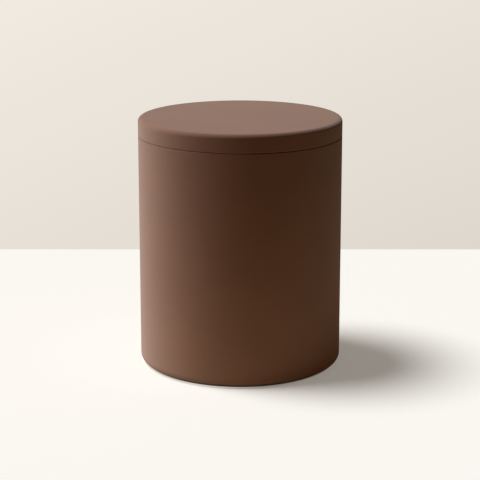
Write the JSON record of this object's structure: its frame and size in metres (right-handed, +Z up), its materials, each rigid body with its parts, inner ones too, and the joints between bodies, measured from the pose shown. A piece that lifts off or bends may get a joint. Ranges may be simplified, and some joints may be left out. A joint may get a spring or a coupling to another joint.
{
  "type": "lidded cylindrical canister",
  "caption": "Straight-sided round stoneware canister with a flush lift-off lid, sealed by a soft ring round the lid's spigot, standing on soft pads in a recessed base.",
  "frame": {"origin": "centre of the base, on the plane of the foot pads' undersides", "axes": "+Z up along the canister's axis; +X and +Y each pass over a foot pad, and the canister looks the same from every side"},
  "size_m": [0.1, 0.1, 0.1232],
  "materials": {
    "jar": "matt, soft to the touch",
    "lid": "matt, soft to the touch",
    "seal": "smooth silicone",
    "pads": "matt silicone"
  },
  "bodies": {
    "jar": {"jar_body": "jar", "foot_pad_1": "pads", "foot_pad_2": "pads", "foot_pad_3": "pads", "foot_pad_4": "pads"},
    "lid": {"lid": "lid", "lid_seal": "seal"}
  },
  "joints": [
    {"name": "lid_lift", "type": "slide", "parent": "jar", "child": "lid", "axis": [0, 0, 1], "range_m": [0, 0.045]}
  ]
}
